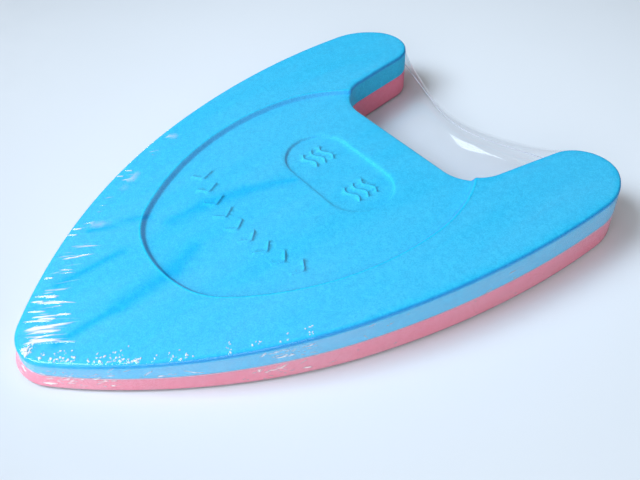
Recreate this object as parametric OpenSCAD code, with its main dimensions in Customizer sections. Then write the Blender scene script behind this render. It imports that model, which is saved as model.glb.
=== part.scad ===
// Kickboard float: an A-shaped swimming board of two laminated foam sheets, sealed in clear shrink film.
// Millimetres. X runs across the board, +Y from the nose to the notched tail, +Z up.
// The origin is on the floor, under the middle of the wrapped board.

/* [Board] */
// Length of the foam from the nose to the horn tips
board_length = 400; // [380:5:420]
// Thickness of the foam at the thick tail end
board_thickness = 39.6; // [36:0.2:44]
// How much thinner the board is at the nose tip than at the tail
nose_thinning = 20.8; // [10:0.2:22]
// Height of the joint between the sheets at the tail
lower_sheet_thickness = 20.2; // [18:0.2:22]
// How much thinner the lower sheet is at the nose tip
lower_sheet_thinning = 12.2; // [6:0.2:13]
// Radius of the rounded nose tip
nose_radius = 28.6; // [27:0.2:30]
// Radius of each rounded horn tip
horn_radius = 27; // [26:0.2:28]

/* [Moulded top] */
// Depth of the large recess that opens into the notch
recess_depth = 3; // [1:0.1:3.5]
// Extra depth of the stadium-shaped badge panel
badge_depth = 2; // [1:0.1:2.5]
// Height of the raised marks above the floor they stand on
mark_height = 1; // [0.4:0.1:1]
// Width of each raised stroke
stroke_width = 1.6; // [1.2:0.1:2]
// Number of chevrons in the arc near the nose
chevron_count = 9; // [5:1:9]

/* [Shrink film] */
// Modelled thickness of each film web
film_thickness = 0.2; // [0.15:0.05:0.3]
// Clearance between the film and the foam
film_gap = 0.05; // [0.05:0.05:0.1]
// Height of the weld bead that joins the two webs
bead_height = 0.8; // [0.6:0.1:1.2]
// How far the weld bead stands out from the film
bead_proud = 0.5; // [0.3:0.1:0.8]
// Turn of the film around each horn before it crosses the notch mouth, in degrees
mouth_turn = 20; // [18:1:22]

/* [Hidden] */
$fn = 96;

// The outline was laid out for this length and scales with the board
LAYOUT_LENGTH = 400;
k = board_length / LAYOUT_LENGTH;
nose_y = -board_length / 2;

// Tangent bends from the nose tip around one side: [radius, turn in degrees, number of facets]
SIDE_BENDS = [
    [nose_radius, 42.9, 10],
    [375.3 * k, 30.5, 14],
    [550 * k, 19.4, 8],
    [48.6 * k, 45, 10],
];
SIDE_TURN = total_turn(SIDE_BENDS);
HORN_TURN = 122.8;
HORN_FACETS = 20;
HORN_INNER_LENGTH = 50.2 * k;
CORNER_RADIUS = 29.6 * k;
CORNER_FACETS = 14;

// Tangent bends of the large recess, from its nose end to where it meets the notch
RECESS_BENDS = [
    [92.3 * k, 16.8, 6],
    [53.8 * k, 33.8, 8],
    [186.8 * k, 45.4, 14],
    [106.4 * k, 37.6, 8],
];
RECESS_START = 97.2 * k;
RECESS_RUN_OUT = 14 * k;
// The recess sits a little to the -X side of the middle line
RECESS_SHIFT = -1.5 * k;

// Straight part of the film between each horn and the rounded middle of the notch mouth
MOUTH_STRAIGHT = 78 * k;

BADGE_CENTRE = nose_y + 245 * k;
BADGE_RADIUS = 25.4 * k;
BADGE_HALF_STRAIGHT = 22.5 * k;

// The chevrons stand on an arc that bulges towards the nose
CHEVRON_ARC_RADIUS = 177 * k;
CHEVRON_ARC_Y = nose_y + 156.5 * k;
CHEVRON_PITCH = 4.95;
CHEVRON_HALF_HEIGHT = 7.5;
CHEVRON_REACH = 6;

WAVE_LENGTH = 18;
WAVE_SWING = 2.2;
WAVE_SPACING = 7;
WAVE_OFFSET = 25 * k;
WAVE_STEPS = 24;

// The top and the joint curve down to the nose from a crest line across the board
CREST_RUN = 351 * k;
crest_y = nose_y + CREST_RUN;
ARC_STEPS = 36;

// Cutting shapes are wider, taller and longer than the board
SPAN = 400;
TALL = 80;
MARGIN = 10;

// Points nearer to the middle line than this belong to both sides
ON_MIDDLE_LINE = 0.001;

foam_base = film_thickness + film_gap;
joint_height = foam_base + lower_sheet_thickness;
top_height = foam_base + board_thickness;
film_outset = film_gap + film_thickness;

function left_of(heading) = [-sin(heading), cos(heading)];

// Where a bend of this radius and signed turn ends
function bend_end(start, heading, radius, turn) =
    start + sign(turn) * radius * (left_of(heading) - left_of(heading + turn));

// Points along a chain of tangent bends, with every radius grown by the same amount
function bend_chain(bends, start, heading, grow = 0, i = 0) =
    i == len(bends)
        ? [start]
        : let (radius = bends[i][0] + sign(bends[i][1]) * grow, turn = bends[i][1], facets = bends[i][2])
          concat(
              [for (j = [0:facets - 1]) bend_end(start, heading, radius, turn * j / facets)],
              bend_chain(bends, bend_end(start, heading, radius, turn), heading + turn, grow, i + 1)
          );

function total_turn(bends, i = 0) = i == len(bends) ? 0 : bends[i][1] + total_turn(bends, i + 1);

function last(points) = points[len(points) - 1];

function side_points(grow) = bend_chain(SIDE_BENDS, [0, nose_y - grow], 0, grow);

// One side of the foam outline: flank, horn, the horn's inner face and the notch corner
function foam_half(grow = 0) =
    let (
        side = side_points(grow),
        horn = bend_chain([[horn_radius, HORN_TURN, HORN_FACETS]], last(side), SIDE_TURN, grow),
        heading = SIDE_TURN + HORN_TURN,
        inner_end = last(horn) + HORN_INNER_LENGTH * [cos(heading), sin(heading)],
        corner = bend_chain([[CORNER_RADIUS, 180 - heading, CORNER_FACETS]], inner_end, heading, grow)
    )
    concat(side, horn, corner);

// One side of the film outline: it leaves the horn early and sags across the notch mouth
function film_half(grow) =
    let (
        side = side_points(grow),
        horn_turn = 180 + mouth_turn - SIDE_TURN,
        horn = bend_chain([[horn_radius, horn_turn, HORN_FACETS]], last(side), SIDE_TURN, grow),
        heading = 180 + mouth_turn,
        middle_start = last(horn) + MOUTH_STRAIGHT * [cos(heading), sin(heading)],
        middle_radius = middle_start[0] / sin(mouth_turn),
        mouth = bend_chain([[middle_radius, -mouth_turn, CORNER_FACETS]], middle_start, heading)
    )
    concat(side, horn, mouth);

// A closed outline from one side's points: the side and its mirror image
function mirrored(half) =
    concat(half, [for (i = [len(half) - 1:-1:1]) if (half[i][0] > ON_MIDDLE_LINE) [-half[i][0], half[i][1]]]);

function arc_radius(drop) = (CREST_RUN * CREST_RUN + drop * drop) / (2 * drop);

// How far a surface that drops this much at the nose lies below its crest
function arc_sag(y, drop) =
    let (radius = arc_radius(drop))
    radius - sqrt(radius * radius - (y - crest_y) * (y - crest_y));

// Everything between a deep floor and a surface that curves down towards the nose
module under_arc(height, drop) {
    reach = board_length / 2 + MARGIN;
    arc = [
        for (i = [0:ARC_STEPS])
            let (y = reach - 2 * reach * i / ARC_STEPS)
            [y, height - arc_sag(y, drop)]
    ];
    rotate([90, 0, 90])
        linear_extrude(SPAN, center = true)
            polygon(concat([[-reach, -TALL], [reach, -TALL]], arc));
}

module under_top(lift) {
    under_arc(top_height + lift, nose_thinning);
}

module under_joint(lift) {
    under_arc(joint_height + lift, lower_sheet_thinning);
}

module recess_plan() {
    side = bend_chain(RECESS_BENDS, [0, nose_y + RECESS_START], 0);
    heading = total_turn(RECESS_BENDS);
    run_out = last(side) + RECESS_RUN_OUT * [cos(heading), sin(heading)];
    translate([RECESS_SHIFT, 0])
        polygon(mirrored(concat(side, [run_out])));
}

module badge_plan() {
    translate([0, BADGE_CENTRE]) {
        square([2 * BADGE_HALF_STRAIGHT, 2 * BADGE_RADIUS], center = true);
        for (side = [-1, 1]) {
            translate([side * BADGE_HALF_STRAIGHT, 0])
                circle(r = BADGE_RADIUS);
        }
    }
}

// Two strokes that meet in a point on the +X side
module chevron_plan() {
    tip = CHEVRON_REACH / 2;
    polygon([
        [-tip, CHEVRON_HALF_HEIGHT],
        [-tip + stroke_width, CHEVRON_HALF_HEIGHT],
        [tip + stroke_width, 0],
        [-tip + stroke_width, -CHEVRON_HALF_HEIGHT],
        [-tip, -CHEVRON_HALF_HEIGHT],
        [tip, 0],
    ]);
}

module chevron_arc_plan() {
    translate([0, CHEVRON_ARC_Y + CHEVRON_ARC_RADIUS]) {
        for (i = [0:chevron_count - 1]) {
            rotate((i - (chevron_count - 1) / 2) * CHEVRON_PITCH)
                translate([0, -CHEVRON_ARC_RADIUS])
                    chevron_plan();
        }
    }
}

module wave_plan() {
    ridge = [for (i = [0:WAVE_STEPS]) WAVE_LENGTH * (i / WAVE_STEPS - 0.5)];
    upper = [for (x = ridge) [x, WAVE_SWING * sin(360 * x / WAVE_LENGTH) + stroke_width / 2]];
    lower = [for (i = [WAVE_STEPS:-1:0]) upper[i] - [0, stroke_width]];
    polygon(concat(upper, lower));
}

module badge_marks_plan() {
    for (side = [-1, 1], row = [-1, 0, 1]) {
        translate([side * WAVE_OFFSET, BADGE_CENTRE + row * WAVE_SPACING])
            wave_plan();
    }
}

// A sunk panel in the top sheet: everything above its floor
module sunk_panel(depth) {
    difference() {
        linear_extrude(TALL)
            children();
        under_top(-depth);
    }
}

// A raised mark that stands on a panel sunk to this depth
module raised_mark(depth) {
    difference() {
        intersection() {
            linear_extrude(TALL)
                children();
            under_top(mark_height - depth);
        }
        under_top(-depth - mark_height);
    }
}

module top_foam() {
    color([0.2, 0.7, 0.95])
        union() {
            difference() {
                intersection() {
                    linear_extrude(TALL)
                        polygon(mirrored(foam_half()));
                    under_top(0);
                }
                under_joint(0);
                sunk_panel(recess_depth)
                    recess_plan();
                sunk_panel(recess_depth + badge_depth)
                    badge_plan();
            }
            raised_mark(recess_depth)
                chevron_arc_plan();
            raised_mark(recess_depth + badge_depth)
                badge_marks_plan();
        }
}

module bottom_foam() {
    color([0.9, 0.5, 0.6])
        intersection() {
            translate([0, 0, foam_base])
                linear_extrude(TALL)
                    polygon(mirrored(foam_half()));
            under_joint(0);
        }
}

module film_upper() {
    color([0.9, 0.95, 1, 0.15])
        difference() {
            intersection() {
                linear_extrude(TALL)
                    polygon(mirrored(film_half(film_outset)));
                under_top(film_outset);
            }
            intersection() {
                linear_extrude(TALL)
                    polygon(mirrored(film_half(film_gap)));
                under_top(film_gap);
            }
            under_joint(bead_height / 2);
        }
}

module film_lower() {
    color([0.9, 0.95, 1, 0.15])
        difference() {
            intersection() {
                linear_extrude(TALL)
                    polygon(mirrored(film_half(film_outset)));
                under_joint(-bead_height / 2);
            }
            translate([0, 0, film_thickness])
                linear_extrude(TALL)
                    polygon(mirrored(film_half(film_gap)));
        }
}

// The bead where the two webs were welded and trimmed, all around the board
module film_seam() {
    color([0.95, 0.97, 1, 0.4])
        difference() {
            intersection() {
                linear_extrude(TALL)
                    polygon(mirrored(film_half(film_outset + bead_proud)));
                under_joint(bead_height / 2);
            }
            linear_extrude(TALL)
                polygon(mirrored(film_half(film_gap)));
            under_joint(-bead_height / 2);
        }
}

top_foam();
bottom_foam();
film_upper();
film_lower();
film_seam();
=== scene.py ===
"""Looks for the kickboard float: two foam sheets, clear shrink film, a pale table and window light."""
import math

import bpy
import numpy as np
from mathutils import Matrix, Vector, noise
from mathutils.geometry import delaunay_2d_cdt
from mathutils.kdtree import KDTree


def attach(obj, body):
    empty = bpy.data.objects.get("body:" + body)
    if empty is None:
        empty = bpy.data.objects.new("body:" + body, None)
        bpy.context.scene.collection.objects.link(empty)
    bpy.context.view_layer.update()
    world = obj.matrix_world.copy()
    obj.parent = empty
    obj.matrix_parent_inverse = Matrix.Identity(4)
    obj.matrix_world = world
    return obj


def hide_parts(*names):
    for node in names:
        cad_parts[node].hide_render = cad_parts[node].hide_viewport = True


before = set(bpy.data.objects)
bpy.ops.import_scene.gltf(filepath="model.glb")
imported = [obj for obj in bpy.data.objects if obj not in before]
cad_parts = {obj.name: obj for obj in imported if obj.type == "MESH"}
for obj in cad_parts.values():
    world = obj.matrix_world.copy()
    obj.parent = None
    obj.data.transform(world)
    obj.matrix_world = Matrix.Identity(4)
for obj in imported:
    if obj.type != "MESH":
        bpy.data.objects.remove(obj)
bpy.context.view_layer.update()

# ---------------------------------------------------------------- sizes, in millimetres
MM = 0.001

# The nose is at -Y. The top and the joint between the sheets are level at the crest and curve down
# from there by these drops at the nose
NOSE_Y = -200.0
CREST_Y = 151.0
CREST_RUN = CREST_Y - NOSE_Y
FOAM_BASE = 0.25
TOP = FOAM_BASE + 39.6
JOINT = FOAM_BASE + 20.2
TOP_DROP = 20.8
JOINT_DROP = 12.2

# Tangent runs of one side, from the nose tip to the horn: (length, turn in degrees). They turn by
# SIDE_TURN in all. Then come the horn's round end, its straight inner side and the notch's corner
SIDE_RUNS = [(21.4, 42.9), (199.8, 30.5), (186.2, 19.4), (38.2, 45.0)]
SIDE_TURN = 137.8
HORN_RADIUS = 27.0
HORN_TURN = 122.8
HORN_INNER = 50.2
CORNER_RADIUS = 29.6

# The film's edge over the notch: its turn inwards at each horn, and the straight run after it
MOUTH_TURN = 20.0
MOUTH_STRAIGHT = 78.0

# The recess, the badge panel in it, and the strokes of the raised marks
RECESS_RUNS = [(27.1, 16.8), (31.7, 33.8), (148.0, 45.4), (69.8, 37.6)]
RECESS_START = 97.2
RECESS_STEP = 1.5
RECESS_RUN_OUT = 20.0
RECESS_SHIFT = -1.5
RECESS_DEPTH = 3.0
RECESS_WALL = 3.2
LIP_HEIGHT = 0.25
LIP_OFFSET = 0.8
LIP_WIDTH = 0.6
BADGE_Y = 45.0
BADGE_RADIUS = 25.4
BADGE_HALF = 22.5
BADGE_DEPTH = 2.0
BADGE_WALL = 1.1
MARK_HEIGHT = 1.0
STROKE = 0.45
STROKE_SLOPE = 0.5

# Chevrons stand on an arc about a centre towards the tail, at a pitch in degrees. Each is a bent
# line whose tip is slightly rounded
CHEVRON_COUNT = 9
CHEVRON_ARC_RADIUS = 177.0
CHEVRON_ARC_Y = NOSE_Y + 156.5
CHEVRON_PITCH = 4.95
CHEVRON_HALF_HEIGHT = 7.0
CHEVRON_REACH = 6.0
CHEVRON_TIP = 0.1
WAVE_LENGTH = 17.0
WAVE_SWING = 2.0
WAVE_OFFSET = 24.5
WAVE_SPACING = 7.5

# Rounded edges of the foam, and how far the lower sheet spreads at the nose
TOP_ROUND = 2.0
JOINT_ROUND = 0.5
JOINT_GAP = 0.03
BASE_ROUND = 2.4
NOSE_FLARE = 3.2
NOSE_FLARE_REACH = 70

# Spacing of points along the outline
STEP = 0.9


# ---------------------------------------------------------------- plan curves
def sweep(runs, start, heading, step=STEP):
    """Walks tangent runs and returns the points and the heading at each point."""
    points = []
    headings = []
    here = np.array(start, dtype=float)
    for length, turn in runs:
        turn = math.radians(turn)
        count = max(2, math.ceil(length / step))
        for i in range(count):
            points.append(along(here, heading, length, turn, i / count))
            headings.append(heading + turn * i / count)
        here = along(here, heading, length, turn, 1.0)
        heading += turn
    points.append(here)
    headings.append(heading)
    return np.array(points), np.array(headings)


def along(start, heading, length, turn, share):
    """The point a share of the way along one run."""
    if abs(turn) < 1e-9:
        return start + share * length * np.array([math.cos(heading), math.sin(heading)])
    radius = length / turn
    end = heading + share * turn
    return start + radius * np.array(
        [math.sin(end) - math.sin(heading), math.cos(heading) - math.cos(end)]
    )


def closed(points, headings):
    """Mirrors one side into a closed loop, with outward normals."""
    normals = np.stack([np.sin(headings), -np.cos(headings)], axis=1)
    flip = np.array([-1.0, 1.0])
    return (
        np.concatenate([points, (points * flip)[-2:0:-1]]),
        np.concatenate([normals, (normals * flip)[-2:0:-1]]),
    )


def arc(radius, turn):
    """The run that turns by so many degrees at this radius."""
    return (abs(radius * math.radians(turn)), turn)


def foam_outline():
    """The foam's outline, and the index of the point where the film leaves the horn."""
    leave_turn = 180 + MOUTH_TURN - SIDE_TURN
    rest = [
        arc(HORN_RADIUS, leave_turn),
        arc(HORN_RADIUS, HORN_TURN - leave_turn),
        (HORN_INNER, 0),
        arc(CORNER_RADIUS, 180 - SIDE_TURN - HORN_TURN),
    ]
    runs = SIDE_RUNS + rest
    points, heads = sweep(runs, (0, NOSE_Y), 0.0)
    runs = runs + [(points[-1][0], 0)]
    points, heads = sweep(runs, (0, NOSE_Y), 0.0)
    leave, _ = sweep(runs[: len(SIDE_RUNS) + 1], (0, NOSE_Y), 0.0)
    points[-1][0] = 0.0
    loop, normals = closed(points, heads)
    return loop, normals, len(leave) - 1


LOOP, NORMALS, LEAVE = foam_outline()
COUNT = len(LOOP)


def nearest(points, query):
    """For each query point, the number of the nearest of the points."""
    tree = KDTree(len(points))
    for i, (x, y) in enumerate(points):
        tree.insert((x, y, 0), i)
    tree.balance()
    return np.array([tree.find((x, y, 0))[1] for x, y in query], dtype=int)


def depth(query, loop, normals):
    """How far inside a closed loop each query point lies; negative outside."""
    if len(query) == 0:
        return np.zeros(0)
    near = nearest(loop, query)
    size = len(loop)
    best = np.full(len(query), 1e9)
    for step in (-1, 1):
        a = loop[near]
        ab = loop[(near + step) % size] - a
        share = ((query - a) * ab).sum(1) / np.maximum((ab ** 2).sum(1), 1e-12)
        gap = query - a - np.clip(share, 0, 1)[:, None] * ab
        best = np.minimum(best, np.linalg.norm(gap, axis=1))
    outward = ((query - loop[near]) * normals[near]).sum(1)
    return np.where(outward > 0, -best, best)


def board_depth(query):
    """How far inside the foam's outline each point lies; negative outside."""
    return depth(query, LOOP, NORMALS)


def smooth(value):
    """Eases from 0 to 1 as the value goes from 0 to 1."""
    value = np.clip(value, 0, 1)
    return value * value * (3 - 2 * value)


def between(value, low, high):
    """Goes straight from 0 at low to 1 at high, and stays there."""
    return np.clip((value - low) / (high - low), 0, 1)


# ---------------------------------------------------------------- moulded features
def recess_loop():
    """The recess in plan. It runs out through the notch, so its tail end is well past the foam."""
    points, heads = sweep(RECESS_RUNS, (0, NOSE_Y + RECESS_START), 0.0, RECESS_STEP)
    run_out = points[-1] + RECESS_RUN_OUT * np.array([math.cos(heads[-1]), math.sin(heads[-1])])
    points = np.vstack([points, run_out, [0, run_out[1] + 2 * RECESS_RUN_OUT]])
    heads = np.append(heads, [heads[-1], math.pi])
    loop, normals = closed(points, heads)
    return loop + (RECESS_SHIFT, 0), normals


RECESS, RECESS_NORMALS = recess_loop()


def badge_loop():
    """A stadium: two half circles joined by straight sides."""
    centres = []
    normals = []
    for side in (1, -1):
        for angle in np.linspace(-90, 90, 33):
            turn = math.radians(angle if side > 0 else angle + 180)
            centres.append((side * BADGE_HALF, BADGE_Y))
            normals.append((math.cos(turn), math.sin(turn)))
    normals = np.array(normals)
    return np.array(centres) + BADGE_RADIUS * normals, normals


BADGE, BADGE_NORMALS = badge_loop()


def chevrons():
    """Centre lines of the raised chevrons, on an arc that bulges to the nose."""
    centre = np.array([0.0, CHEVRON_ARC_Y + CHEVRON_ARC_RADIUS])
    lines = []
    for i in range(CHEVRON_COUNT):
        turn = math.radians((i - (CHEVRON_COUNT - 1) / 2) * CHEVRON_PITCH)
        across = np.array([math.cos(turn), math.sin(turn)])
        outward = np.array([math.sin(turn), -math.cos(turn)])
        middle = centre + CHEVRON_ARC_RADIUS * outward
        line = []
        for t in np.linspace(-1, 1, 25):
            reach = CHEVRON_REACH * (0.5 - math.hypot(t, CHEVRON_TIP))
            line.append(middle + CHEVRON_HALF_HEIGHT * t * outward + reach * across)
        lines.append(np.array(line))
    return lines


def waves():
    """Centre lines of the raised waves, three on each side of the badge."""
    lines = []
    for side in (-1, 1):
        for row in (-1, 0, 1):
            x = np.linspace(-WAVE_LENGTH / 2, WAVE_LENGTH / 2, 41)
            y = WAVE_SWING * np.sin(2 * math.pi * x / WAVE_LENGTH)
            lines.append(np.stack([x + side * WAVE_OFFSET, y + BADGE_Y + row * WAVE_SPACING], axis=1))
    return lines


def with_midpoints(line):
    """The points of a line and the middle of each step between them."""
    return np.concatenate([line[:-1], (line[:-1] + line[1:]) / 2])


MARKS = chevrons() + waves()
MARK_POINTS = np.concatenate([with_midpoints(line) for line in MARKS])


def stroke_outline(line, half):
    """A rounded outline around a centre line, half a stroke away from it."""
    tangent = np.gradient(line, axis=0)
    tangent /= np.linalg.norm(tangent, axis=1)[:, None]
    side = np.stack([-tangent[:, 1], tangent[:, 0]], axis=1)
    cap = np.linspace(0, math.pi, 9)[1:-1]

    def end(index, sign):
        along_line = tangent[index] * sign
        across = side[index] * sign
        return [line[index] + half * (across * math.cos(a) + along_line * math.sin(a)) for a in cap]

    left = list(line + half * side)
    right = list((line - half * side)[::-1])
    return np.array(left + end(-1, 1) + right + end(0, -1))


def arc_sag(y, drop):
    """How far an arc that is level at the crest has fallen at y, when it falls by drop at the nose."""
    radius = (CREST_RUN ** 2 + drop ** 2) / (2 * drop)
    return radius - np.sqrt(radius ** 2 - (y - CREST_Y) ** 2)


def joint_z(points):
    """Height of the joint between the two sheets."""
    return JOINT - arc_sag(points[:, 1], JOINT_DROP)


def crown_z(points):
    """The plain top surface, before anything is moulded into it."""
    return TOP - arc_sag(points[:, 1], TOP_DROP)


def top_z(points):
    """The moulded top surface."""
    z = crown_z(points)
    sunk = depth(points, RECESS, RECESS_NORMALS)
    z -= RECESS_DEPTH * smooth(sunk / RECESS_WALL + 0.1)
    z += LIP_HEIGHT * np.exp(-(((sunk + LIP_OFFSET) / LIP_WIDTH) ** 2))
    z -= BADGE_DEPTH * smooth(depth(points, BADGE, BADGE_NORMALS) / BADGE_WALL + 0.2)
    mark = np.linalg.norm(points - MARK_POINTS[nearest(MARK_POINTS, points)], axis=1)
    return z + MARK_HEIGHT * smooth((STROKE + STROKE_SLOPE - mark) / STROKE_SLOPE)


# ---------------------------------------------------------------- mesh helpers
# The grid covers the whole board; a triangle of side 1 is this tall
GRID_HALF_LENGTH = 204
GRID_HALF_WIDTH = 150
TRIANGLE_HEIGHT = 0.866


def hex_fill(spacing, keep):
    """Points on a triangular grid over the board where keep(points) holds."""
    rows = np.arange(-GRID_HALF_LENGTH, GRID_HALF_LENGTH, spacing * TRIANGLE_HEIGHT)
    points = []
    for number, y in enumerate(rows):
        x = np.arange(-GRID_HALF_WIDTH, GRID_HALF_WIDTH, spacing) + (number % 2) * spacing / 2
        points.append(np.stack([x, np.full_like(x, y)], axis=1))
    points = np.concatenate(points)
    return points[keep(points)]


def triangulate(rim, inset, loops, fill):
    """A triangle mesh inside the rim, the board's outline moved in by inset. It follows every loop
    and takes in every fill point. Also returns the vertex number of each point of the rim."""
    coords = [Vector(p) for p in rim]
    size = len(rim)
    edges = [(i, (i + 1) % size) for i in range(size)]
    for loop in loops:
        keep = board_depth(loop) > inset + 0.25
        first = len(coords)
        index = {}
        for i, point in enumerate(loop):
            if keep[i]:
                index[i] = first + len(index)
                coords.append(Vector(point))
        for i in range(len(loop)):
            j = (i + 1) % len(loop)
            if i in index and j in index:
                edges.append((index[i], index[j]))
    coords += [Vector(p) for p in fill]
    found = delaunay_2d_cdt(coords, edges, [list(range(size))], 1, 1e-4)
    points = np.array([tuple(p) for p in found[0]])
    faces = [tuple(f) for f in found[2]]
    rim_index = np.zeros(size, dtype=int)
    for new, sources in enumerate(found[3]):
        for source in sources:
            if source < size:
                rim_index[source] = new
    return points, faces, rim_index


def strip_faces(top, bottom, flip=False):
    """Quads between two closed rows of vertex numbers."""
    size = len(top)
    faces = []
    for i in range(size):
        j = (i + 1) % size
        quad = (top[i], bottom[i], bottom[j], top[j])
        faces.append(quad[::-1] if flip else quad)
    return faces


class Shell:
    """Collects rows and caps into one mesh, in millimetres."""

    def __init__(self):
        self.points = []
        self.faces = []

    def add(self, points):
        """Adds points and returns their vertex numbers."""
        first = len(self.points)
        self.points.extend(map(tuple, points))
        return np.arange(first, first + len(points))

    def cap(self, inset, loops, fill, height, flip=False):
        """A capped surface; returns the vertex numbers of its rim."""
        rim = LOOP - np.broadcast_to(inset, COUNT)[:, None] * NORMALS
        plan, faces, rim_index = triangulate(rim, np.max(inset), loops, fill)
        numbers = self.add(np.column_stack([plan, height(plan)]))
        for face in faces:
            face = tuple(int(numbers[i]) for i in face)
            a, b, c = (np.array(self.points[i][:2]) for i in face[:3])
            up = np.cross(b - a, c - a) > 0
            self.faces.append(face if up != flip else face[::-1])
        return numbers[rim_index]

    def rows(self, first, rows, flip=False):
        """Joins the row of vertex numbers `first` to each following row of points."""
        last = first
        for row in rows:
            numbers = self.add(row)
            self.faces.extend(strip_faces(last, numbers, flip))
            last = numbers
        return last

    def build(self, name):
        """Makes the Blender object, in metres."""
        mesh = bpy.data.meshes.new(name)
        points = [tuple(c * MM for c in p) for p in self.points]
        faces = [tuple(map(int, f)) for f in self.faces]
        mesh.from_pydata(points, [], faces)
        mesh.validate()
        mesh.shade_smooth()
        obj = bpy.data.objects.new(name, mesh)
        bpy.context.scene.collection.objects.link(obj)
        return obj


def level(z):
    """A flat surface at this height, as a function of plan points."""
    return lambda points: np.full(len(points), z)


def ring_row(inset, z):
    """A row of points around the outline, moved in by inset, at heights z."""
    inset = np.broadcast_to(inset, COUNT)[:, None]
    return np.column_stack([LOOP - inset * NORMALS, np.broadcast_to(z, COUNT)])


# Distance along the outline from the nose to each point, negative on the -X side
LENGTHS = np.concatenate([[0], np.cumsum(np.linalg.norm(np.diff(LOOP, axis=0), axis=1))])
LENGTHS = np.where(LENGTHS > LENGTHS[-1] / 2, LENGTHS - LENGTHS[-1], LENGTHS)


def nose_flare(share):
    """How far the lower sheet spreads outwards round the nose, a share of the way down its side."""
    return NOSE_FLARE * share * np.exp(-(LENGTHS / NOSE_FLARE_REACH) ** 2)


# ---------------------------------------------------------------- foam sheets
# How far inside the edge of the recess and of the badge the mesh has a ring of points, and the
# spacing of the points that fill the moulded top and the flat faces
RECESS_RINGS = (-2.0, -1.5, -1.1, -0.7, -0.3, 0.2, 0.7, 1.3, 1.9, 2.5, 3.1)
BADGE_RINGS = (-0.35, 0.0, 0.35, 0.7, 1.1)
FOAM_FILL = 4.0
FLAT_FILL = 12.0

# Painted shade on the rounded top edge lies between these drops below the top, and is weaker near the
# nose
EDGE_SHADE_STARTS = (0.0, 0.7)
EDGE_SHADE_ENDS = (2.4, 3.0)
EDGE_SHADE_NOSE_REACH = 50
# Painted contact shadow on the rounded base edge: full below the first height, none above the second
BASE_SHADOW_HEIGHTS = (1.5, 2.3)


def build_top_foam():
    """The upper sheet: the moulded top, its rounded edge, the side and the flat of the joint."""
    shell = Shell()
    loops = []
    for gap in RECESS_RINGS:
        loops.append(RECESS - gap * RECESS_NORMALS)
    for gap in BADGE_RINGS:
        loops.append(BADGE - gap * BADGE_NORMALS)
    for line in MARKS:
        for half in (STROKE, STROKE + STROKE_SLOPE / 2, STROKE + STROKE_SLOPE):
            loops.append(stroke_outline(line, half))
    fill = hex_fill(FOAM_FILL, lambda p: board_depth(p) > TOP_ROUND + 2)
    edge = shell.cap(TOP_ROUND, loops, fill, top_z)
    base = top_z(LOOP)
    rows = []
    for angle in (18, 36, 54, 72, 90):
        turn = math.radians(angle)
        fall = TOP_ROUND * (1 - math.cos(turn))
        rows.append(ring_row(TOP_ROUND * (1 - math.sin(turn)), base - fall))
    high = base - TOP_ROUND
    low = joint_z(LOOP) + JOINT_ROUND
    for share in (0.04, 0.08, 0.12, 0.25, 0.5, 0.75, 1.0):
        rows.append(ring_row(0, high + (low - high) * share))
    for angle in (30, 60, 90):
        turn = math.radians(angle)
        fall = JOINT_ROUND * math.sin(turn)
        rows.append(ring_row(JOINT_ROUND * (1 - math.cos(turn)), low - fall))
    shell.rows(edge, rows)
    fill = hex_fill(FLAT_FILL, lambda p: board_depth(p) > 6)
    lower = shell.cap(JOINT_ROUND, [], fill, joint_z, flip=True)
    weld(shell, rows[-1], lower)
    return shell.build("top_foam_sheet")


def weld(shell, row, cap_rim):
    """Lets the last strip share the vertices of the cap that closes it."""
    shared = {}
    first_row = min(cap_rim) - len(row)
    for i, number in enumerate(cap_rim):
        shared[first_row + i] = int(number)
    shell.faces = [tuple(shared.get(v, v) for v in face) for face in shell.faces]


def vertices(obj):
    """The points of a mesh, in millimetres."""
    return np.array([tuple(v.co) for v in obj.data.vertices]) / MM


def mark_edge_shade(obj):
    """Stores on the mesh where shade is painted darker: the rounded top edge and the recess wall."""
    points = vertices(obj)
    plan = points[:, :2]
    drop = crown_z(plan) - points[:, 2]
    near_edge = board_depth(plan) < TOP_ROUND + 0.1
    rim = np.where(near_edge, between(drop, *EDGE_SHADE_STARTS) * (1 - between(drop, *EDGE_SHADE_ENDS)), 0)
    rim *= 1 - 0.6 * np.exp(-((points[:, 1] - NOSE_Y) / EDGE_SHADE_NOSE_REACH) ** 2)
    wall = depth(plan, RECESS, RECESS_NORMALS) / RECESS_WALL
    on_top = points[:, 2] > joint_z(plan) + 5
    # Painted shade on the recess wall as well, on the top sheet only
    store(obj, rim=np.maximum(rim, 0.5 * smooth(4 * wall) * smooth(3.6 - 4 * wall) * on_top))


def mark_base_shadow(obj):
    """Stores on the mesh a painted contact shadow on the rounded base edge, darkest next to the table.
    """
    store(obj, rim=1 - between(vertices(obj)[:, 2], *BASE_SHADOW_HEIGHTS))


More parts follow.
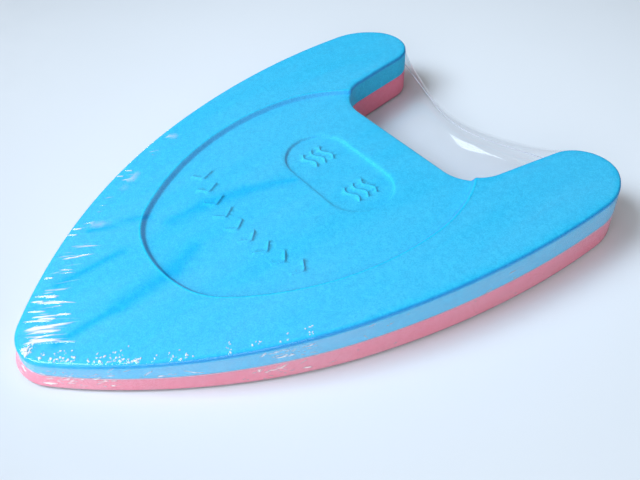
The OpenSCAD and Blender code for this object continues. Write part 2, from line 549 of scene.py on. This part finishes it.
def build_bottom_foam():
    """The lower sheet, which spreads outwards round the nose and has a rounded base edge."""
    shell = Shell()
    fill = hex_fill(FLAT_FILL, lambda p: board_depth(p) > 6)
    edge = shell.cap(JOINT_ROUND, [], fill, lambda p: joint_z(p) - JOINT_GAP)
    base = joint_z(LOOP) - JOINT_GAP
    rows = []
    for angle in (30, 60, 90):
        turn = math.radians(angle)
        fall = JOINT_ROUND * (1 - math.cos(turn))
        rows.append(ring_row(JOINT_ROUND * (1 - math.sin(turn)), base - fall))
    high = base - JOINT_ROUND
    low = FOAM_BASE + BASE_ROUND
    for share in (0.25, 0.5, 0.75, 1.0):
        rows.append(ring_row(-nose_flare(share), high + (low - high) * share))
    for angle in (22, 45, 68, 90):
        turn = math.radians(angle)
        inset = BASE_ROUND * (1 - math.cos(turn)) - nose_flare(1)
        rows.append(ring_row(inset, low - BASE_ROUND * math.sin(turn)))
    shell.rows(edge, rows)
    lower = shell.cap(BASE_ROUND - nose_flare(1), [], fill, level(FOAM_BASE), flip=True)
    weld(shell, rows[-1], lower)
    return shell.build("bottom_foam_sheet")


# ---------------------------------------------------------------- shrink film
# How far the film lies off the foam
FILM_LIFT = 0.14
# Shape of the film's fall to the mouth of the notch: 1 is an ellipse, and less is squarer
SADDLE_POWER = 0.75
# Spacing of the film's points where it is creased, which is up to this y, and where it is smooth
CREASE_FILL = 0.5
CREASED_Y = -30
SMOOTH_FILL = 5.0
UNDER_FILL = 8.0
# Angles of the film's rows round the foam's edge, and the number of rows from there to the weld
EDGE_BENDS = (15, 30, 45, 60, 75, 90)
SIDE_ROWS = 22


def mouth_loop():
    """Where each outline point's film ends in plan: on the outline, or on the slack mouth curve."""
    plan = LOOP + FILM_LIFT * NORMALS
    start = LEAVE
    stop = COUNT - LEAVE
    leave = plan[start]
    heading = math.radians(180 + MOUTH_TURN)
    turn = math.radians(MOUTH_TURN)
    radius = (leave[0] - MOUTH_STRAIGHT * math.cos(turn)) / math.sin(turn)
    bend = 2 * radius * turn
    runs = [(MOUTH_STRAIGHT, 0), (bend, -2 * MOUTH_TURN), (MOUTH_STRAIGHT, 0)]
    curve, _ = sweep(runs, leave, heading)
    along_curve = np.concatenate([[0], np.cumsum(np.linalg.norm(np.diff(curve, axis=0), axis=1))])
    lengths = np.linalg.norm(np.diff(LOOP[start:stop + 1], axis=0), axis=1)
    share = np.concatenate([[0], np.cumsum(lengths)]) / lengths.sum() * along_curve[-1]
    for axis in (0, 1):
        plan[start:stop + 1, axis] = np.interp(share, along_curve, curve[:, axis])
    return plan, np.arange(start, stop + 1)


MOUTH, MOUTH_INDEX = mouth_loop()


# Creases that fan in from the left rim and puckers along the front one: how many are tried, and
# how many points of the outline they are spread over
FAN_COUNT = 150
FAN_POINTS = 330
PUCKER_COUNT = 520
PUCKER_POINTS = 260

# The sharpest creases near the nose: start and length, then what they share
SHARP_CREASES = [
    (-19, -190, 22), (-24, -184, 14), (-9, -170, 10), (-33, -176, 19), (-30, -179, 9), (-43, -164, 7),
    (-14, -181, 12), (-27, -170, 8), (-69, -136, 9), (-72, -131, 8), (-100, -82, 6), (-101, -74, 6),
]
SHARP_HEADING = 51
SHARP_WIDTH = 0.5
SHARP_HEIGHT = 0.42

# Crumpled patches of the side: distance along the outline from, to, height from, to, number of
# creases, and the height of the tallest crease
SIDE_PATCHES = [
    (0, 40, 3, 14, 60, 0.35), (40, 62, 5, 16, 26, 0.45), (60, 130, 13, 19, 14, 0.5),
    (150, 180, 20, 27, 30, 0.5), (138, 176, 3, 12, 40, 0.4), (180, 330, 4, 30, 22, 0.5),
    (-60, 0, 3, 16, 50, 0.4), (-330, -60, 4, 28, 30, 0.5),
]


def crease_field(points, creases):
    """Summed height of creases, each a start, direction, length, half width and height."""
    height = np.zeros(len(points))
    for start, direction, length, width, rise in creases:
        gap = points - start
        along_line = gap @ direction / length
        bow = 0.06 * length * along_line * (1 - along_line)
        across = gap @ np.array([-direction[1], direction[0]]) - bow
        hit = (along_line > 0) & (along_line < 1) & (np.abs(across) < 3 * width)
        taper = np.sin(math.pi * along_line[hit]) ** 0.6
        height[hit] += rise * taper * np.exp(-((across[hit] / width) ** 2))
    return height


def heading_vector(degrees):
    """The unit vector in plan at this angle from +X."""
    return np.array([math.cos(math.radians(degrees)), math.sin(math.radians(degrees))])


def fan_creases():
    """Tension creases that run in from the left rim and the nose, longest at the nose."""
    rng = np.random.default_rng(11)
    creases = []
    for _ in range(FAN_COUNT):
        share = rng.random() ** 1.6
        number = int(COUNT - 2 - share * FAN_POINTS)
        start = LOOP[number] - NORMALS[number] * rng.uniform(1.2, 9)
        nose = max(0.0, 1 - share * 1.4)
        direction = heading_vector(rng.normal(56 + 12 * share, 5))
        length = rng.uniform(6, 12) + nose * rng.uniform(4, 40)
        width = rng.uniform(0.45, 0.8)
        creases.append((start, direction, length, width, rng.uniform(0.05, 0.22)))
    sharp = heading_vector(SHARP_HEADING)
    for x, y, length in SHARP_CREASES:
        creases.append((np.array([x, y]), sharp, length, SHARP_WIDTH, SHARP_HEIGHT))
    return creases


def rim_puckers():
    """Short puckers crowded along the front rim, where the film was gathered over the edge."""
    rng = np.random.default_rng(5)
    puckers = []
    for _ in range(PUCKER_COUNT):
        share = rng.random() ** 1.4
        number = int(2 + share * PUCKER_POINTS)
        # The puckers come in clusters, which thin out away from the nose
        if noise.noise(Vector((number / 9, 3.0, 0))) < -0.1 + 0.25 * share:
            continue
        start = LOOP[number] - NORMALS[number] * (1.8 + rng.exponential(2.4))
        direction = heading_vector(rng.uniform(0, 180))
        length = rng.uniform(0.8, 2.2)
        width = rng.uniform(0.3, 0.48)
        puckers.append((start, direction, length, width, rng.uniform(0.15, 0.55)))
    return puckers


def side_creases():
    """Crumples in the side of the film, as distances along the outline and heights."""
    rng = np.random.default_rng(3)
    creases = []
    for first, last, low, high, number, tallest in SIDE_PATCHES:
        for _ in range(number):
            start = np.array([rng.uniform(first, last), rng.uniform(low, high)])
            direction = heading_vector(rng.normal(12, 22))
            length = rng.uniform(2, 10)
            width = rng.uniform(0.3, 0.6)
            creases.append((start, direction, length, width, rng.uniform(0.1, tallest)))
    return creases


def film_cap_z(points):
    """Height of the film over the top. It is stretched, so it doesn't dip into the recess."""
    z = crown_z(points) + FILM_LIFT
    return z + crease_field(points, fan_creases() + rim_puckers())


def film_strip(z_edge, z_seam, round_radius, down, flare):
    """Rows of film from the edge of a cap to the seam: round the foam's edge and down its side,
    or in one sweep across the notch."""
    start = LOOP - round_radius * NORMALS
    rows = []
    height = z_edge - z_seam
    falls = np.linspace(0, 1, SIDE_ROWS + 1)[1:]
    total = len(EDGE_BENDS) + len(falls)
    creases = side_creases()
    for step in range(total):
        row = np.zeros((COUNT, 3))
        theta = math.pi / 2 * (1 - (step + 1) / total)
        out = 1 - math.cos(theta) ** SADDLE_POWER
        rise = math.sin(theta) ** SADDLE_POWER
        if step < len(EDGE_BENDS):
            turn = math.radians(EDGE_BENDS[step])
            inset = round_radius * (1 - math.sin(turn)) - FILM_LIFT * math.sin(turn)
            fall = np.full(COUNT, round_radius * (1 - math.cos(turn)))
            spread = flare
        else:
            inset = -FILM_LIFT
            share = falls[step - len(EDGE_BENDS)]
            fall = round_radius + (np.abs(height) - round_radius) * share
            spread = flare * (1 - share)
        side_z = z_edge - down * fall
        stand = np.zeros(COUNT)
        if len(EDGE_BENDS) <= step < total - 1:
            stand = crease_field(np.column_stack([LENGTHS, side_z]), creases)
        row[:, :2] = LOOP + (stand + spread - inset)[:, None] * NORMALS
        row[:, 2] = side_z
        k = MOUTH_INDEX
        row[k, :2] = MOUTH[k] + (start[k] - MOUTH[k]) * out
        row[k, 2] = z_seam[k] + height[k] * rise
        rows.append(row)
    return rows


def creased(points):
    """Whether points lie where the top film is creased: a band inside the edge, wide at the nose."""
    gap = board_depth(points) - TOP_ROUND
    y = points[:, 1]
    reach = np.where(y < -120, 40, np.where(y < CREASED_Y, 9, 2))
    return (gap > 0.4) & (gap < reach)


def build_film_upper():
    """The upper web, and the row of points where it meets the lower one."""
    shell = Shell()
    fill = np.concatenate([
        hex_fill(CREASE_FILL, lambda p: creased(p) & (p[:, 1] < CREASED_Y)),
        hex_fill(SMOOTH_FILL, lambda p: (board_depth(p) > TOP_ROUND + 2) & ~creased(p)),
    ])
    edge = shell.cap(TOP_ROUND, [], fill, film_cap_z)
    z_edge = np.array([shell.points[i][2] for i in edge])
    rows = film_strip(z_edge, joint_z(LOOP), TOP_ROUND, 1, np.zeros(COUNT))
    shell.rows(edge, rows)
    return shell.build("film_upper_web"), rows[-1]


def build_film_lower():
    """The lower web, from under the board up to the weld."""
    shell = Shell()
    fill = hex_fill(UNDER_FILL, lambda p: board_depth(p) > 4)
    low = FOAM_BASE - FILM_LIFT
    flare = nose_flare(1)
    edge = shell.cap(BASE_ROUND - flare, [], fill, level(low), flip=True)
    rows = film_strip(np.full(COUNT, low), joint_z(LOOP), BASE_ROUND, -1, flare)
    shell.rows(edge, rows, flip=True)
    return shell.build("film_lower_web")


# The film is crinkled this far from the nose, and is slack inside the box around the notch
CRINKLE_REACH = 110
NOTCH_Y = 95
NOTCH_HALF_WIDTH = 114
# Drops below the top over which haze sets in, over the notch and down the sides; down the sides the haze
# is partly milky film and partly a painted reflection of the table
NOTCH_HAZE_DROPS = (8, 20)
SIDE_HAZE_AND_SHEEN_DROPS = (TOP_ROUND + 0.4, TOP_ROUND + 1.6)
# How far creased film has to stand off before a painted glint whitens it, and over what further height
# the glint turns fully white, on the top and down the sides
GLINT_FROM = 0.14
GLINT_TOP = 0.18
GLINT_SIDE = 0.5

# Broad bands where the film lies tight on the foam and looks clear: start, end and half width
CLEAR_BANDS = [
    ((12, -180), (12, -136), 3.2), ((12, -136), (9, -98), 6), ((9, -98), (0, -76), 5),
    ((-31, -160), (-29, -112), 3), ((-32, -76), (-31, -50), 4), ((-31, -50), (-24, -20), 5),
    ((-24, -20), (-10, 14), 3.5), ((-62, -122), (-46, -84), 2.2),
]


def mark_film(obj):
    """Stores on the mesh where the film is crinkled, hangs down a side (its haze there partly a painted
    reflection), lies tight and clear, stands off the foam with a painted glint, or hangs slack over the
    notch."""
    points = vertices(obj)
    plan = points[:, :2]
    gap = board_depth(plan)
    nose = 1 - between(points[:, 1], NOSE_Y, NOSE_Y + CRINKLE_REACH)
    crinkle = np.clip(0.15 + nose, 0, 1) * np.exp(-(gap / (5 + 25 * nose)) ** 2)
    drop = crown_z(plan) - points[:, 2]
    notch = (gap < -0.3) & (plan[:, 1] > NOTCH_Y) & (np.abs(plan[:, 0]) < NOTCH_HALF_WIDTH)
    hang = 0.1 * between(drop, *NOTCH_HAZE_DROPS)
    side = np.where(notch, hang, between(drop, *SIDE_HAZE_AND_SHEEN_DROPS))
    above_base = between(points[:, 2], FOAM_BASE + BASE_ROUND, joint_z(plan))
    spread = nose_flare(1)[nearest(LOOP, plan)] * (1 - above_base)
    stand = np.where((gap > 0) & (points[:, 2] > 3), -drop, -gap - spread) - FILM_LIFT
    full_white = GLINT_FROM + np.where(gap > 0, GLINT_TOP, GLINT_SIDE)
    # Painted glint where creased film stands off the foam, none over the notch
    white = np.where(notch, 0, between(stand, GLINT_FROM, full_white))
    cling = np.zeros(len(points))
    for start, end, half in CLEAR_BANDS:
        line = np.linspace(start, end, 60)
        away = np.linalg.norm(plan - line[nearest(line, plan)], axis=1)
        cling += np.exp(-((away / half) ** 2))
    cling = np.clip(cling, 0, 1)
    veil = (1 - cling) * (0.1 + 0.9 * smooth((gap - 1.0) / 2.5))
    store(obj, crinkle=crinkle, side=side, cling=cling, veil=veil, white=white, slack=notch * 1.0)


def store(obj, **layers):
    """Keeps values on the mesh, one per vertex, for the materials."""
    size = len(obj.data.vertices)
    for name, values in layers.items():
        values = np.broadcast_to(values, size)
        layer = obj.data.attributes.new(name, "FLOAT", "POINT")
        layer.data.foreach_set("value", values.astype(np.float32))


# Half thickness of the weld bead, how much it varies, and how much it gains across the mouth
BEAD_HALF = 0.1
BEAD_VARIES = 0.05
BEAD_MOUTH = 0.2
MOUTH_HALF_WIDTH = 108
# A small tab of weld is left on the horn on the +X side
TAB_PLACE = (145.5, 178)
TAB_WIDTH = 1.3
TAB_REACH = 1.4
TAB_HEIGHT = 0.6


def build_seam(row):
    """The weld bead: a thin uneven tube along the line where the two webs meet. It is thicker across
    the mouth of the notch."""
    shell = Shell()
    size = len(row)
    forward = np.roll(row, -1, axis=0) - np.roll(row, 1, axis=0)
    forward /= np.linalg.norm(forward, axis=1)[:, None]
    out = np.stack([forward[:, 1], -forward[:, 0], np.zeros(size)], axis=1)
    out /= np.linalg.norm(out, axis=1)[:, None]
    past_mouth = np.clip(np.abs(row[:, 0]) - MOUTH_HALF_WIDTH, 0, None)
    mouth = np.exp(-(past_mouth / 8) ** 2) * (row[:, 1] > NOTCH_Y + 5)
    tab = np.exp(-(np.linalg.norm(row[:, :2] - TAB_PLACE, axis=1) / TAB_WIDTH) ** 2)
    wander = np.array([noise.fractal(Vector((s / 3.0, 0.0, 2.0)), 1.0, 2.0, 2) for s in LENGTHS])
    half = BEAD_HALF + BEAD_VARIES * wander + BEAD_MOUTH * mouth
    rings = []
    for angle in np.linspace(0, 2 * math.pi, 9)[:-1]:
        reach = 0.08 + half * math.cos(angle) + TAB_REACH * tab * (math.cos(angle) > 0)
        ring = row + out * reach[:, None]
        ring[:, 2] += (half + TAB_HEIGHT * tab) * math.sin(angle)
        rings.append(shell.add(ring))
    for a, b in zip(rings, rings[1:] + rings[:1]):
        shell.faces.extend(strip_faces(b, a))
    return shell.build("film_weld_bead")


# ---------------------------------------------------------------- materials
class Nodes:
    """Builds one material's node tree."""

    def __init__(self, name):
        self.material = bpy.data.materials.new(name)
        self.material.use_nodes = True
        self.tree = self.material.node_tree
        self.tree.nodes.clear()
        self.out = self.tree.nodes.new("ShaderNodeOutputMaterial")

    def add(self, kind, **values):
        """A new node; each value goes to the input of that name, or else to the setting."""
        node = self.tree.nodes.new(kind)
        for key, value in values.items():
            if key in node.inputs:
                node.inputs[key].default_value = value
            else:
                setattr(node, key, value)
        return node

    def link(self, source, target):
        self.tree.links.new(source, target)

    def stored(self, name):
        """A value that was stored on the mesh for each vertex."""
        return self.add("ShaderNodeAttribute", attribute_name=name).outputs["Fac"]

    def noise(self, coordinates, scale, detail=3.0, roughness=0.5):
        node = self.add("ShaderNodeTexNoise", Scale=scale, Detail=detail, Roughness=roughness)
        self.link(coordinates, node.inputs["Vector"])
        return node.outputs["Fac"]

    def mapping(self, coordinates, scale=(1, 1, 1), rotation=(0, 0, 0)):
        node = self.add("ShaderNodeMapping", Scale=scale, Rotation=rotation)
        self.link(coordinates, node.inputs["Vector"])
        return node.outputs["Vector"]

    def ramp(self, value, stops):
        """Colours along a value, each stop a place and a colour."""
        node = self.add("ShaderNodeValToRGB")
        elements = node.color_ramp.elements
        while len(elements) < len(stops):
            elements.new(0.5)
        for element, (place, colour) in zip(elements, stops):
            element.position = place
            element.color = (*colour, 1)
        self.link(value, node.inputs["Fac"])
        return node.outputs["Color"]

    def remap(self, value, low, high, start=0.0, stop=1.0):
        """Carries the range from low to high over to the one from start to stop."""
        node = self.add("ShaderNodeMapRange")
        node.inputs["From Min"].default_value = low
        node.inputs["From Max"].default_value = high
        node.inputs["To Min"].default_value = start
        node.inputs["To Max"].default_value = stop
        self.link(value, node.inputs["Value"])
        return node.outputs["Result"]

    def maths(self, operation, first, second):
        """A sum, product and so on of two numbers or sockets."""
        node = self.add("ShaderNodeMath", operation=operation)
        for slot, value in zip(node.inputs, (first, second)):
            if isinstance(value, (int, float)):
                slot.default_value = value
            else:
                self.link(value, slot)
        return node.outputs["Value"]


# Noise scales of the foam's skin, per metre
MOTTLE_SCALE = 260
SPECKLE_SCALE = 1100
GRAIN_SCALE = 500
CELL_SCALE = 1400


def foam_material(name, base, dark, light, shade_tint):
    """Closed-cell EVA: fine cell speckle, soft mottling and a satin skin, with painted shade where the
    mesh stores it.
    """
    m = Nodes(name)
    where = m.add("ShaderNodeTexCoord").outputs["Object"]
    mottle = m.noise(where, MOTTLE_SCALE, 4, 0.65)
    speckle = m.noise(where, SPECKLE_SCALE, 2, 0.6)
    blend = m.maths("ADD", m.maths("MULTIPLY", mottle, 0.4), m.maths("MULTIPLY", speckle, 0.6))
    colour = m.ramp(blend, [(0.4, dark), (0.5, base), (0.6, light)])
    # Painted shade: the stored value darkens the colour towards the shade tint
    rim = m.stored("rim")
    edge = m.add("ShaderNodeMix", data_type="RGBA", blend_type="MULTIPLY")
    m.link(rim, edge.inputs["Factor"])
    m.link(colour, edge.inputs["A"])
    edge.inputs["B"].default_value = (*shade_tint, 1)
    colour = edge.outputs["Result"]
    cells = m.add("ShaderNodeTexVoronoi", Scale=CELL_SCALE)
    m.link(where, cells.inputs["Vector"])
    bump = m.add("ShaderNodeBump", Strength=0.25, Distance=0.00012)
    grain = m.maths("ADD", cells.outputs["Distance"], m.noise(where, GRAIN_SCALE, 3, 0.6))
    m.link(grain, bump.inputs["Height"])
    skin = m.add("ShaderNodeBsdfPrincipled")
    m.link(colour, skin.inputs["Base Color"])
    m.link(m.remap(mottle, 0.3, 0.7, 0.55, 0.75), skin.inputs["Roughness"])
    m.link(bump.outputs["Normal"], skin.inputs["Normal"])
    skin.inputs["Specular IOR Level"].default_value = 0.25
    skin.inputs["Subsurface Weight"].default_value = 0.15
    skin.inputs["Subsurface Radius"].default_value = (0.004, 0.004, 0.004)
    skin.inputs["Subsurface Scale"].default_value = 0.3
    m.link(skin.outputs["BSDF"], m.out.inputs["Surface"])
    return m.material


# Scales along X, Y and Z of the haze's long streaks and of the fine crinkles, per metre
STREAK_SCALE = (30, 6, 30)
RIPPLE_SCALE = (420, 110, 300)
# What the film passes where it is free and where it clings to the foam, and what its haze adds
FREE_TINT = (0.99, 0.993, 0.997)
CLING_TINT = (0.72, 0.93, 0.995)
HAZE_COLOUR = (0.88, 0.9, 1.0)
# Share of light that is mirrored face on, and what low angles add where the film is taut or slack
MIRROR_FACE_ON = 0.036
MIRROR_TAUT = 0.35
MIRROR_SLACK = 0.95


def film_material(name, haze, side_haze_and_sheen):
    """Clear film: sees through, mirrors at low angles, with an uneven haze and fine crinkles. The haze
    down the sides is partly painted reflection, and raised creases carry painted white glints.
    """
    m = Nodes(name)
    where = m.add("ShaderNodeTexCoord").outputs["Object"]
    crinkle = m.stored("crinkle")
    white = m.stored("white")
    streaks = m.noise(m.mapping(where, STREAK_SCALE, (0, 0, 0.35)), 1.0, 4, 0.55)
    # Side haze: partly milky film, partly a painted reflection of the table at low angles
    side_part = m.maths("MULTIPLY", m.stored("side"), side_haze_and_sheen - haze)
    amount = m.maths("ADD", side_part, m.maths("MULTIPLY", m.stored("veil"), haze))
    cloud = m.maths("MULTIPLY", m.remap(streaks, 0.35, 0.65, 0.6, 1.4), amount)
    # Painted glints: raised creases are mixed towards a white diffuse layer
    cloud = m.maths("ADD", cloud, m.maths("MULTIPLY", white, 0.85))
    ripple = m.noise(m.mapping(where, RIPPLE_SCALE, (0, 0, 0.3)), 1.0, 3, 0.6)
    swell = m.maths("ADD", m.maths("MULTIPLY", crinkle, 0.9), 0.06)
    bump = m.add("ShaderNodeBump", Strength=0.5, Distance=0.0005)
    m.link(m.maths("MULTIPLY", ripple, swell), bump.inputs["Height"])
    clear = m.add("ShaderNodeBsdfTransparent")
    tint = m.ramp(m.stored("cling"), [(0.0, FREE_TINT), (1.0, CLING_TINT)])
    m.link(tint, clear.inputs["Color"])
    milk = m.add("ShaderNodeBsdfDiffuse")
    # The haze turns pure white where a painted glint is stored
    m.link(m.ramp(white, [(0.0, HAZE_COLOUR), (0.5, (1.0, 1.0, 1.0))]), milk.inputs["Color"])
    body = m.add("ShaderNodeMixShader")
    m.link(cloud, body.inputs["Fac"])
    m.link(clear.outputs["BSDF"], body.inputs[1])
    m.link(milk.outputs["BSDF"], body.inputs[2])
    gloss = m.add("ShaderNodeBsdfGlossy", Color=(1, 1, 1, 1))
    m.link(m.remap(crinkle, 0, 0.5, 0.13, 0.06), gloss.inputs["Roughness"])
    m.link(bump.outputs["Normal"], gloss.inputs["Normal"])
    facing = m.add("ShaderNodeLayerWeight", Blend=0.5)
    m.link(bump.outputs["Normal"], facing.inputs["Normal"])
    rim = m.maths("POWER", facing.outputs["Facing"], 5.0)
    both = m.add("ShaderNodeMixShader")
    share = m.remap(m.stored("slack"), 0, 1, MIRROR_TAUT, MIRROR_SLACK)
    grazing = m.maths("MULTIPLY", rim, share)
    m.link(m.maths("ADD", grazing, MIRROR_FACE_ON), both.inputs["Fac"])
    m.link(body.outputs["Shader"], both.inputs[1])
    m.link(gloss.outputs["BSDF"], both.inputs[2])
    m.link(both.outputs["Shader"], m.out.inputs["Surface"])
    return m.material


# Painted shade on the table: it is brightest at this place, in metres, and darkens with the square of
# the distance
TABLE_BRIGHTEST = (0, 0.15, 0)
TABLE_MOST = 1.05
TABLE_LEAST = 0.7
TABLE_FALLOFF = 1.27


def table_material():
    """A pale satin table with painted shade that makes it a little darker away from the board."""
    m = Nodes("pale_table")
    where = m.add("ShaderNodeTexCoord").outputs["Object"]
    cloud = m.noise(where, 3.0, 3, 0.5)
    colour = m.ramp(cloud, [(0.3, (0.82, 0.865, 0.92)), (0.7, (0.84, 0.885, 0.94))])
    away = m.add("ShaderNodeVectorMath", operation="DISTANCE")
    m.link(where, away.inputs[0])
    away.inputs[1].default_value = TABLE_BRIGHTEST
    away = away.outputs["Value"]
    loss = m.maths("MULTIPLY", m.maths("MULTIPLY", away, away), TABLE_FALLOFF)
    fade = m.maths("SUBTRACT", TABLE_MOST, loss)
    shade = m.add("ShaderNodeVectorMath", operation="SCALE")
    m.link(colour, shade.inputs["Vector"])
    m.link(m.maths("MAXIMUM", fade, TABLE_LEAST), shade.inputs["Scale"])
    top = m.add("ShaderNodeBsdfPrincipled")
    m.link(shade.outputs["Vector"], top.inputs["Base Color"])
    m.link(m.remap(m.noise(where, 40, 3, 0.5), 0.3, 0.7, 0.4, 0.5), top.inputs["Roughness"])
    top.inputs["Specular IOR Level"].default_value = 0.2
    m.link(top.outputs["BSDF"], m.out.inputs["Surface"])
    return m.material


# ---------------------------------------------------------------- build
# Foam colours: usual, darkest and lightest, and the tint that painted shade is multiplied by
BLUE = ((0.009, 0.565, 0.91), (0.0, 0.5, 0.85), (0.026, 0.63, 0.97), (0.8, 0.62, 0.88))
PINK = ((0.91, 0.215, 0.325), (0.86, 0.18, 0.28), (0.93, 0.255, 0.375), (0.3, 0.22, 0.22))

top_foam = build_top_foam()
mark_edge_shade(top_foam)
bottom_foam = build_bottom_foam()
mark_base_shadow(bottom_foam)
film_upper, seam_row = build_film_upper()
film_lower = build_film_lower()
weld_bead = build_seam(seam_row)

for web in (film_upper, film_lower):
    mark_film(web)
store(weld_bead, crinkle=0.5, side=1, cling=0, veil=1, white=0, slack=0)
top_foam.data.materials.append(foam_material("blue_eva", *BLUE))
bottom_foam.data.materials.append(foam_material("pink_eva", *PINK))
film = film_material("clear_shrink_film", haze=0.04, side_haze_and_sheen=0.2)
film_upper.data.materials.append(film)
film_lower.data.materials.append(film)
weld_bead.data.materials.append(film_material("welded_film_edge", haze=0.1, side_haze_and_sheen=0.5))

for piece, node, slot in (
    (top_foam, "top_foam", "blue_foam"),
    (bottom_foam, "bottom_foam", "pink_foam"),
    (film_upper, "film_upper", "clear_film"),
    (film_lower, "film_lower", "clear_film"),
    (weld_bead, "film_seam", "film_bead"),
):
    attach(piece, "root")
    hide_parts(node)


# ---------------------------------------------------------------- stage, light and camera
# Metres; the angles are azimuth, elevation and roll in degrees, and the lens is in millimetres
TABLE_HALF = 3.0
CAMERA_ANGLES = (53.656, 43.035, -1.459)
CAMERA_TARGET = (0.019158, 0.01288, 0)
CAMERA_DISTANCE = 0.57306
CAMERA_LENS = 45.05

# Area lights: name, place, size, watts and colour
LIGHTS = [
    ("window", (-1.5, -2.5, 3.3), (2.3, 2.3), 200, (0.76, 0.88, 1.0)),
    ("far_window", (-2.2, 0.3, 0.75), (0.36, 0.18), 2.6, (0.9, 0.95, 1.0)),
    ("room", (1.7, -2.0, 1.2), (3.0, 2.0), 37, (0.98, 0.98, 1.0)),
]
# The room's own light, and its strength towards -Y and towards +Y
ROOM_COLOUR = (1.0, 0.99, 0.95)
ROOM_STRENGTHS = (0.47, 0.06)


def build_table():
    """The table the board lies on."""
    mesh = bpy.data.meshes.new("table")
    corners = [(-1, -1), (1, -1), (1, 1), (-1, 1)]
    points = [(x * TABLE_HALF, y * TABLE_HALF, 0) for x, y in corners]
    mesh.from_pydata(points, [], [(0, 1, 2, 3)])
    table = bpy.data.objects.new("table", mesh)
    bpy.context.scene.collection.objects.link(table)
    mesh.materials.append(table_material())


def area_light(name, place, size, watts, colour):
    """A rectangular light that is aimed at the board."""
    light = bpy.data.lights.new(name, "AREA")
    light.shape = "RECTANGLE"
    light.size, light.size_y = size
    light.energy = watts
    light.color = colour
    obj = bpy.data.objects.new(name, light)
    obj.location = place
    obj.rotation_euler = (-Vector(place)).to_track_quat("-Z", "Y").to_euler()
    bpy.context.scene.collection.objects.link(obj)


def build_camera():
    """The photograph's view, with a slight roll."""
    azimuth, elevation, roll = (math.radians(a) for a in CAMERA_ANGLES)
    target = Vector(CAMERA_TARGET)
    level_x = math.sin(azimuth) * math.cos(elevation)
    level_y = -math.cos(azimuth) * math.cos(elevation)
    back = Vector((level_x, level_y, math.sin(elevation)))
    right = (-back).cross(Vector((0, 0, 1))).normalized()
    up = right.cross(-back)
    tilted_right = right * math.cos(roll) + up * math.sin(roll)
    tilted_up = up * math.cos(roll) - right * math.sin(roll)
    camera = bpy.data.cameras.new("camera")
    camera.lens = CAMERA_LENS
    camera.sensor_width = 36
    obj = bpy.data.objects.new("camera", camera)
    rotation = Matrix((tilted_right, tilted_up, back)).transposed()
    obj.matrix_world = Matrix.Translation(target + back * CAMERA_DISTANCE) @ rotation.to_4x4()
    bpy.context.scene.collection.objects.link(obj)
    bpy.context.scene.camera = obj


def build_world():
    """Room light that is stronger from the -Y side, where the window is."""
    world = bpy.data.worlds.new("room")
    world.use_nodes = True
    tree = world.node_tree
    background = tree.nodes["Background"]
    background.inputs["Color"].default_value = (*ROOM_COLOUR, 1)
    where = tree.nodes.new("ShaderNodeTexCoord")
    towards = tree.nodes.new("ShaderNodeVectorMath")
    towards.operation = "DOT_PRODUCT"
    towards.inputs[1].default_value = Vector((0, 1, 0))
    strength = tree.nodes.new("ShaderNodeMapRange")
    strength.inputs["From Min"].default_value = -0.9
    strength.inputs["From Max"].default_value = 0.9
    strength.inputs["To Min"].default_value = ROOM_STRENGTHS[0]
    strength.inputs["To Max"].default_value = ROOM_STRENGTHS[1]
    tree.links.new(where.outputs["Generated"], towards.inputs[0])
    tree.links.new(towards.outputs["Value"], strength.inputs["Value"])
    tree.links.new(strength.outputs["Result"], background.inputs["Strength"])
    bpy.context.scene.world = world


build_table()
build_world()
build_camera()
for light in LIGHTS:
    area_light(*light)
bpy.context.scene.view_settings.view_transform = "Standard"
